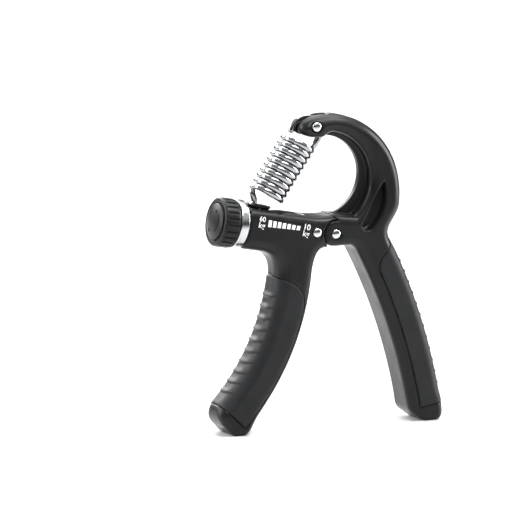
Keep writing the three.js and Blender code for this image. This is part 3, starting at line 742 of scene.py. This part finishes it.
# ---- slider ----------------------------------------------------------------------------------------------
BLOCK_FROM, BLOCK_TO = 3.2, 12.8
PLATE_FROM, PLATE_TO, PLATE_HALF = 1.9, 14.0, 4.9
PLATE_CORNER = 3.2
PLATE_ABOVE, PLATE_THICKNESS = 10.4, 1.2
NUT_BORE_RADIUS, NUT_BORE_TO = 3.9, 10.2
HOOK_ROOM = 5.2
PIN_RADIUS = 0.9


def slider_field(grid):
    """The block in the barrel, its neck through the slot, and the rounded plate on top."""
    block = grid.box(BLOCK_FROM, BLOCK_TO, -5.7, 6.8, 5.9)
    neck = grid.box(BLOCK_FROM, BLOCK_TO, 5.8, 10, 3.5)
    middle = (PLATE_FROM + PLATE_TO) / 2
    half_length = (PLATE_TO - PLATE_FROM) / 2
    side = np.hypot(
        np.maximum(abs(grid.along - middle) - half_length + PLATE_CORNER, 0),
        np.maximum(abs(grid.y) - PLATE_HALF + PLATE_CORNER, 0),
    )
    height = abs(grid.above - PLATE_ABOVE) - PLATE_THICKNESS / 2
    plate = np.maximum(side - PLATE_CORNER, height)
    field = np.minimum(np.minimum(block, neck), plate)
    field = cut(field, grid.rod(SCREW_RADIUS + GAP, 0, 16))
    field = cut(field, grid.rod(NUT_BORE_RADIUS, 2, NUT_BORE_TO))
    hook_slot = grid.box(HOOK_ALONG - HOOK_ROOM, HOOK_ALONG + HOOK_ROOM, 3.7, 20, WIRE_RADIUS + 0.4)
    field = cut(field, hook_slot)
    return cut(field, np.maximum(grid.radius(HOOK_PIN) - PIN_RADIUS, abs(grid.y) - 5))


slider_grid = Grid(-46.5, -29.5, 5.9, 93, 115.5, FINE_STEP)
field_piece("slider_block", slider_field, slider_grid, "handle_plastic", "slider")


# ---- knob, collar and screw ------------------------------------------------------------------------------
RIB_COUNT = 24
RIB_DEPTH = 0.75


def knob_relief(radius, along, angle):
    """Depth of the grooves between the raised pads round the knob's rim."""
    turn = angle * RIB_COUNT / (2 * math.pi)
    from_groove = abs(turn - np.round(turn)) * 2 * math.pi * KNOB_RADIUS / RIB_COUNT
    across = 1 - smooth_step(from_groove, 0.3, 0.75)
    lengthwise = smooth_step(along, -12.1, -11.5) * (1 - smooth_step(along, -6.1, -5.5))
    band = smooth_step(along, -12.3, -12.0) * (1 - smooth_step(along, -5.7, -5.4))
    outside = radius > KNOB_RADIUS - 0.5
    return outside * (RIB_DEPTH * across * lengthwise + 0.35 * (1 - band) * (along > KNOB_FACE + 1.2))


knob_profile = [
    (2.1, KNOB_WEB, 0.2),
    (KNOB_RECESS_RADIUS, KNOB_WEB, 0.3),
    (KNOB_RECESS_RADIUS, KNOB_FACE + 0.3, 0.25),
    (KNOB_RADIUS - 0.9, KNOB_FACE, 0.5),
    (KNOB_RADIUS, KNOB_FACE + 0.8, 0.5),
    (KNOB_RADIUS, KNOB_BACK, 0.5),
    (SHOULDER_RADIUS + GAP, KNOB_BACK, 0.2),
    (SHOULDER_RADIUS + GAP, KNOB_WEB_BACK, 0.2),
    (2.1, KNOB_WEB_BACK, 0.2),
]
knob_profile = split_profile(round_profile(knob_profile, 0.3), 0.4)
turned_piece("knob_grip", knob_profile, RIB_COUNT * 16, "handle_plastic", "knob", knob_relief)

collar_profile = [
    (COLLAR_BORE, COLLAR_FROM),
    (KNOB_RADIUS, COLLAR_FROM),
    (KNOB_RADIUS, COLLAR_TO),
    (COLLAR_BORE, COLLAR_TO),
]
turned_piece("knob_collar", round_profile(collar_profile, 0.55, 6), 128, "collar_silver", "knob")

CAP_RADIUS = 9.0
ARROW_RADIUS = 5.6
ARROW_FROM, ARROW_TO, ARROW_TIP = -52, 62, 78
ARROW_HALF_WIDTH = 0.3
ARROW_HEAD_HALF = 1.15
ARROW_DEPTH = 0.5


def arrow_depth(right, up):
    """Depth of the two engraved rotation arrows, seen from outside the cap."""
    radius = np.hypot(right, up)
    depth = 0
    for side in (1, -1):
        angle = np.degrees(np.arctan2(side * up, side * right))
        past_ends = np.maximum(np.maximum(ARROW_FROM - angle, angle - ARROW_TO), 0)
        line = np.hypot(radius - ARROW_RADIUS, np.radians(past_ends) * radius) - ARROW_HALF_WIDTH
        tip = Outline(on_circle((0, 0), ARROW_RADIUS, ARROW_TIP))
        for edge in (ARROW_HEAD_HALF, -ARROW_HEAD_HALF):
            tip.line(on_circle((0, 0), ARROW_RADIUS + edge, ARROW_TIP - 20))
        line = np.minimum(line, tip.distance(side * right, side * up))
        depth = np.maximum(depth, 1 - smooth_step(line, -0.12, 0.16))
    return ARROW_DEPTH * depth


def make_cap():
    """The domed cap: a polar grid over its face, and a plain skirt behind."""
    sides = 360
    skirt = [(CAP_RADIUS, KNOB_FACE + 1.8), (7.6, KNOB_FACE + 1.8), (7.6, KNOB_FACE + 0.6)]
    bulge = 1.8
    face_radii = np.linspace(0, CAP_RADIUS - 0.3, 70)
    profile = [(r, KNOB_FACE - bulge + 1.45 * (r / CAP_RADIUS) ** 2.2) for r in face_radii]
    profile += [(CAP_RADIUS - 0.06, KNOB_FACE - 0.15), (CAP_RADIUS, KNOB_FACE + 0.15)]
    profile += [*skirt, (0, KNOB_FACE + 0.2)]
    vertices = turned_points(profile, sides) / MM
    rows = len(profile)
    table = vertices.reshape(rows, sides, 3)
    angle = np.linspace(0, 2 * math.pi, sides, endpoint=False)[None, :]
    radius = face_radii[:, None]
    depth = arrow_depth(-radius * np.cos(angle), radius * np.sin(angle))
    table[: len(face_radii), :, 0] += depth * ALONG[0]
    table[: len(face_radii), :, 2] += depth * ALONG[1]
    faces = grid_faces(rows, sides)
    name = "knob_end_cap"
    piece = make_piece(f"{name}_surface", vertices * MM, faces, "handle_plastic", "knob", [name])
    fix_normals(piece)


make_cap()

THREAD_PITCH = 2.0
THREAD_DEPTH = 0.35


def thread_relief(radius, along, angle):
    turn = along / THREAD_PITCH - angle / (2 * math.pi)
    flank = abs(turn - np.floor(turn) - 0.5) * 2
    on_thread = (along > 1) & (along < SCREW_TO - 2.4) & (radius > SCREW_RADIUS - 0.1)
    return on_thread * THREAD_DEPTH * smooth_step(flank, 0.25, 0.9)


screw_profile = [
    (1.5, SHOULDER_FROM, 0.1),
    (SHOULDER_RADIUS, SHOULDER_FROM, 0.2),
    (SHOULDER_RADIUS, SHOULDER_TO, 0.2),
    (SCREW_RADIUS, SHOULDER_TO, 0.1),
    (SCREW_RADIUS, SCREW_TO, 0.3),
    (0.02, SCREW_TO, 0),
    (0.02, SHOULDER_TO, 0),
    (1.5, SHOULDER_TO, 0),
]
screw_profile = split_profile(round_profile(screw_profile, 0.1, 3), 0.2)
turned_piece("lead_screw", screw_profile, 40, "plain_steel", "knob", thread_relief)


# ---- rivets ----------------------------------------------------------------------------------------------
def make_rivet(name, point, head_y, body):
    """A rivet along Y with a domed head at each end."""
    edge = head_y + 0.35
    half = [(RIVET_SHANK, head_y - 0.15), (RIVET_SHANK + 0.1, head_y), (RIVET_HEAD - 0.1, head_y)]
    half.append((RIVET_HEAD, head_y + 0.1))
    for i in range(13):
        angle = math.radians(90 * i / 12)
        half.append((RIVET_HEAD * math.cos(angle), edge + RIVET_DOME * math.sin(angle)))
    profile = [(r, -y) for r, y in reversed(half)] + half
    sides = 64
    vertices = []
    for radius, y in profile:
        for i in range(sides):
            angle = 2 * math.pi * i / sides
            x = point[0] + radius * math.cos(angle)
            z = point[1] + radius * math.sin(angle)
            vertices.append((x, y, z))
    faces = grid_faces(len(profile), sides)
    piece = make_piece(f"{name}_surface", np.array(vertices) * MM, faces, "rivet_chrome", body, [name])
    fix_normals(piece)


make_rivet("pivot_rivet", PIVOT, 9.3, "right_handle")
make_rivet("hinge_plate_rivet", TONGUE_RIVET, 9.3, "left_handle")
make_rivet("spring_rivet", SPRING_RIVET, 8.1, "right_handle")


# ---- spring ----------------------------------------------------------------------------------------------
SPRING_LENGTH = math.dist(HOOK_PIN, SPRING_RIVET)
SPRING_LINE = tuple((end - start) / SPRING_LENGTH for start, end in zip(HOOK_PIN, SPRING_RIVET))
COIL_TOP = COIL_START + COIL_TURNS * COIL_PITCH


def spring_point(along, across, y):
    """A point given by its place along the spring, across it in the XZ plane, and along Y."""
    return np.array(
        [
            HOOK_PIN[0] + along * SPRING_LINE[0] + across * SPRING_LINE[1],
            y,
            HOOK_PIN[1] + along * SPRING_LINE[1] - across * SPRING_LINE[0],
        ]
    )


def plane_arc(centre, radius, start, end, steps):
    """Part of a circle in the middle plane, about a centre on the spring's axis."""
    angles = np.radians(np.linspace(start, end, steps + 1))
    return [spring_point(centre + radius * math.cos(a), radius * math.sin(a), 0) for a in angles]


def coil_run(start, end, steps_per_turn=24):
    turns = np.linspace(start, end, round((end - start) * steps_per_turn) + 1)
    angles = (turns + 0.5) * 2 * math.pi
    return [
        spring_point(COIL_START + t * COIL_PITCH, COIL_RADIUS * math.cos(a), COIL_RADIUS * math.sin(a))
        for t, a in zip(turns, angles)
    ]


def smooth_path(points, spacing):
    """Points at an even spacing along a centripetal Catmull-Rom curve through the given points."""
    points = np.array(points)
    points = np.vstack([2 * points[0] - points[1], points, 2 * points[-1] - points[-2]])
    dense = []
    for p0, p1, p2, p3 in zip(points, points[1:], points[2:], points[3:]):
        t0 = 0
        t1 = t0 + math.sqrt(np.linalg.norm(p1 - p0))
        t2 = t1 + math.sqrt(np.linalg.norm(p2 - p1))
        t3 = t2 + math.sqrt(np.linalg.norm(p3 - p2))
        for t in np.linspace(t1, t2, 8, endpoint=False):
            a1 = (t1 - t) / (t1 - t0) * p0 + (t - t0) / (t1 - t0) * p1
            a2 = (t2 - t) / (t2 - t1) * p1 + (t - t1) / (t2 - t1) * p2
            a3 = (t3 - t) / (t3 - t2) * p2 + (t - t2) / (t3 - t2) * p3
            b1 = (t2 - t) / (t2 - t0) * a1 + (t - t0) / (t2 - t0) * a2
            b2 = (t3 - t) / (t3 - t1) * a2 + (t - t1) / (t3 - t1) * a3
            dense.append((t2 - t) / (t2 - t1) * b1 + (t - t1) / (t2 - t1) * b2)
    dense = np.array([*dense, points[-2]])
    length = np.concatenate([[0], np.cumsum(np.linalg.norm(np.diff(dense, axis=0), axis=1))])
    stations = np.linspace(0, length[-1], round(length[-1] / spacing) + 1)
    return np.stack([np.interp(stations, length, dense[:, k]) for k in range(3)], axis=1)


END_BULGE = 0.6  # how far the wire's rounded ends stand out, as a share of its radius


def tapered_ring(ring, bulge, angle):
    """A smaller ring beyond an end of the wire, for rounding it off."""
    point, tangent, side, radius = ring
    return point + tangent * radius * bulge * math.sin(angle), tangent, side, radius * math.cos(angle)


def sweep_wire(path, radius, sides):
    """A round wire along a path, with rounded ends."""
    tangents = np.gradient(path, axis=0)
    tangents /= np.linalg.norm(tangents, axis=1)[:, None]
    normal = np.cross(tangents[0], (0, 1, 0))
    ends = [math.radians(a) for a in (80, 60, 40, 20)]
    rings = []
    for i, (point, tangent) in enumerate(zip(path, tangents)):
        normal = normal - tangent * np.dot(normal, tangent)
        normal /= np.linalg.norm(normal)
        rings.append((point, tangent, normal.copy(), radius))
    start = [tapered_ring(rings[0], -END_BULGE, a) for a in ends]
    finish = [tapered_ring(rings[-1], END_BULGE, a) for a in ends]
    vertices = []
    rings = start + rings + finish[::-1]
    for point, tangent, side, size in rings:
        other = np.cross(tangent, side)
        for k in range(sides):
            angle = 2 * math.pi * k / sides
            vertices.append(point + size * (math.cos(angle) * side + math.sin(angle) * other))
    faces = grid_faces(len(rings), sides)
    faces.append(tuple(range(sides)))
    faces.append(tuple(len(vertices) - 1 - k for k in range(sides)))
    return np.array(vertices), faces


def make_spring():
    hook = plane_arc(0, HOOK_RADIUS, 60, 262, 16)
    foot = [spring_point(2.4, -3.5, 0), spring_point(5.3, -6.7, 0.3), spring_point(7.3, -7.6, 1)]
    rise = [
        spring_point(COIL_TOP + 1.6, COIL_RADIUS, 0.9),
        spring_point(COIL_TOP + 3.8, COIL_RADIUS, 0.2),
    ]
    loop = plane_arc(SPRING_LENGTH - LOOP_BACKSET, COIL_RADIUS, 90, -118, 24)
    points = [*hook, *foot, *coil_run(0.03, COIL_TURNS - 0.03), *rise, *loop]
    path = smooth_path(points, 0.8)
    vertices, faces = sweep_wire(path, WIRE_RADIUS, 20)
    nodes = ["spring_hook", "spring_lower", "spring_upper"]
    piece = make_piece("spring_wire", vertices * MM, faces, "spring_chrome", replaces=nodes)
    fix_normals(piece)
    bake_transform(piece)


make_spring()

# ---- printed scale on the barrel's front -----------------------------------------------------------------
PRINT_LIFT = 0.08
BAR_COUNT, BAR_PITCH, BAR_WIDTH = 7, 2.55, 1.8
BAR_LEFT, BAR_TOP, BAR_BOTTOM = -35.03, 106.06, 102.76
BAR_TOP_SLOPE, BAR_BOTTOM_SLOPE = -0.246, -0.163
BAR_LEAN = 0.55
BAR_ROWS = 6
TEXT_SLOPE = math.radians(-13)
TEXT_SIZE = 1.38  # the font's size for letters one unit high
TEXT_WEIGHT = 0.012


def front_height(points):
    """How far forward the barrel's front face is at points of the XZ plane, with a little to spare."""
    above = (points - BARREL_START) @ ABOVE
    past = np.clip(above - (BARREL_ABOVE - BARREL_ROUNDING), 0, BARREL_ROUNDING)
    return -(CORE_HALF - BARREL_ROUNDING + np.sqrt(BARREL_ROUNDING**2 - past**2)) - PRINT_LIFT


def printed_piece(name, vertices, faces):
    """A thin patch of print: points of the XZ plane laid on the barrel's front face."""
    flat = np.array(vertices, float)
    y = front_height(flat)
    laid = np.stack([flat[:, 0], y, flat[:, 1]], axis=1) * MM
    piece = make_piece(name, laid, faces, "handle_plastic", "left_handle")
    piece.data.materials[0] = MATERIALS["scale_print"]
    fix_front(piece)


def fix_front(piece):
    """Turns every face of a print patch to the front."""
    mesh = bmesh.new()
    mesh.from_mesh(piece.data)
    mesh.normal_update()
    bmesh.ops.reverse_faces(mesh, faces=[f for f in mesh.faces if f.normal.y > 0])
    mesh.to_mesh(piece.data)
    mesh.free()


def print_bars():
    """Seven bars that get shorter towards the light end of the scale."""
    vertices, faces = [], []
    width = BAR_WIDTH * np.array(ALONG)
    for i in range(BAR_COUNT):
        across = BAR_PITCH * i
        top = np.array((BAR_LEFT + across, BAR_TOP + BAR_TOP_SLOPE * across))
        bottom = np.array((BAR_LEFT + across - BAR_LEAN, BAR_BOTTOM + BAR_BOTTOM_SLOPE * across))
        for k in range(BAR_ROWS + 1):
            edge = top + (bottom - top) * k / BAR_ROWS
            vertices += [edge, edge + width]
        for k in range(BAR_ROWS):
            first = 2 * (i * (BAR_ROWS + 1) + k)
            faces.append((first, first + 1, first + 3, first + 2))
    printed_piece("scale_bars", vertices, faces)


def print_text(name, text, middle, height):
    """A short word, level with the scale's own slope."""
    curve = bpy.data.curves.new(name, "FONT")
    curve.body = text
    curve.align_x = "CENTER"
    curve.align_y = "CENTER"
    curve.size = height * TEXT_SIZE
    curve.offset = height * TEXT_WEIGHT
    curve.resolution_u = 6
    writing = bpy.data.objects.new(name, curve)
    bpy.context.scene.collection.objects.link(writing)
    bpy.context.view_layer.update()
    mesh = bpy.data.meshes.new_from_object(writing)
    bpy.data.objects.remove(writing)
    fine = bmesh.new()
    fine.from_mesh(mesh)
    bmesh.ops.triangulate(fine, faces=fine.faces)
    for longest in (1.2, 0.6, 0.4):
        long_edges = [edge for edge in fine.edges if edge.calc_length() > longest]
        bmesh.ops.subdivide_edges(fine, edges=long_edges, cuts=1)
        bmesh.ops.triangulate(fine, faces=fine.faces)
    fine.to_mesh(mesh)
    fine.free()
    cosine = math.cos(TEXT_SLOPE)
    sine = math.sin(TEXT_SLOPE)
    vertices = []
    for x, y, _ in (v.co for v in mesh.vertices):
        vertices.append((middle[0] + x * cosine - y * sine, middle[1] + x * sine + y * cosine))
    faces = [tuple(p.vertices) for p in mesh.polygons]
    bpy.data.meshes.remove(mesh)
    printed_piece(name, vertices, faces)


print_bars()
print_text("scale_60", "60", (-38.33, 106.6), 2.5)
print_text("scale_kg_high", "kg", (-38.83, 103.6), 2.9)
print_text("scale_10", "10", (-14.53, 101.16), 2.9)
print_text("scale_kg_low", "kg", (-15.03, 97.9), 2.9)

# ---- CAD nodes that stay --------------------------------------------------------------------------------
node_slots = {s["node"]: s["material_slot"] for s in frame["record"]["subparts"]}
for node, item in frame["nodes"].items():
    if not item.hide_render:
        item.data.materials.clear()
        item.data.materials.append(MATERIALS[node_slots[node]])

# ---- floor, light and camera ------------------------------------------------------------------------------
FLOOR_HALF = 6.0
floor_mesh = bpy.data.meshes.new("floor")
corners = [(-1, -1), (1, -1), (1, 1), (-1, 1)]
floor_mesh.from_pydata([(FLOOR_HALF * a, FLOOR_HALF * b, 0) for a, b in corners], [], [(0, 1, 2, 3)])
floor = bpy.data.objects.new("floor", floor_mesh)
bpy.context.scene.collection.objects.link(floor)
floor_look = Look("floor_white", (0.62, 0.62, 0.62), 0.3, specular=0.3)
floor_look.vary_roughness(floor_look.noise(3, 2), 0.26, 0.34)
floor_mesh.materials.append(floor_look.material)


def area_light(name, place, target, size, power):
    data = bpy.data.lights.new(name, "AREA")
    data.shape = "RECTANGLE"
    data.size, data.size_y = size
    data.energy = power
    lamp = bpy.data.objects.new(name, data)
    lamp.location = place
    lamp.visible_camera = False
    lamp.rotation_euler = (Vector(target) - Vector(place)).to_track_quat("-Z", "Y").to_euler()
    bpy.context.scene.collection.objects.link(lamp)


TARGET = (0.0, 0.0, 0.08)
area_light("key_strip", (0.2, -0.35, 0.95), TARGET, (1.0, 0.24), 14)
area_light("top_softbox", (0.1, 0.4, 1.1), TARGET, (1.2, 0.6), 16)
area_light("back_softbox", (-0.3, 1.7, 0.9), (0.0, 0.6, 0.0), (2.4, 0.8), 60)
area_light("left_softbox", (-1.1, 0.35, 0.5), TARGET, (0.35, 0.7), 15)
area_light("right_softbox", (0.95, -0.15, 0.35), TARGET, (0.3, 0.6), 11)


def make_world():
    """White studio: bright overhead, with a dim band at the horizon that gives metal its dark lines."""
    world = bpy.data.worlds.new("studio")
    world.use_nodes = True
    nodes, links = world.node_tree.nodes, world.node_tree.links
    direction = nodes.new("ShaderNodeTexCoord")
    parts = nodes.new("ShaderNodeSeparateXYZ")
    ramp = nodes.new("ShaderNodeValToRGB")
    ramp.color_ramp.elements[0].position = 0.16
    ramp.color_ramp.elements[0].color = (0.05, 0.05, 0.05, 1)
    ramp.color_ramp.elements[1].position = 0.5
    ramp.color_ramp.elements[1].color = (1, 1, 1, 1)
    path = nodes.new("ShaderNodeLightPath")
    mix = nodes.new("ShaderNodeMix")
    mix.data_type = "RGBA"
    mix.inputs["B"].default_value = (1.5, 1.5, 1.5, 1)
    links.new(direction.outputs["Generated"], parts.inputs["Vector"])
    links.new(parts.outputs["Z"], ramp.inputs["Fac"])
    links.new(ramp.outputs["Color"], mix.inputs["A"])
    links.new(path.outputs["Is Camera Ray"], mix.inputs["Factor"])
    links.new(mix.outputs["Result"], nodes["Background"].inputs["Color"])
    nodes["Background"].inputs["Strength"].default_value = 0.75
    bpy.context.scene.world = world


make_world()
bpy.context.scene.view_settings.view_transform = "Standard"

CAMERA_PLACE = (-1.4878, -3.1111, 0.6306)
CAMERA_AIM = (-0.0336, 0.0078, 0.0857)
camera_data = bpy.data.cameras.new("camera")
camera_data.lens = 500
camera_data.sensor_width = 36
camera_data.clip_end = 20
camera = bpy.data.objects.new("camera", camera_data)
camera.location = CAMERA_PLACE
line_of_sight = Vector(CAMERA_AIM) - Vector(CAMERA_PLACE)
camera.rotation_euler = line_of_sight.to_track_quat("-Z", "Y").to_euler()
bpy.context.scene.collection.objects.link(camera)
bpy.context.scene.camera = camera
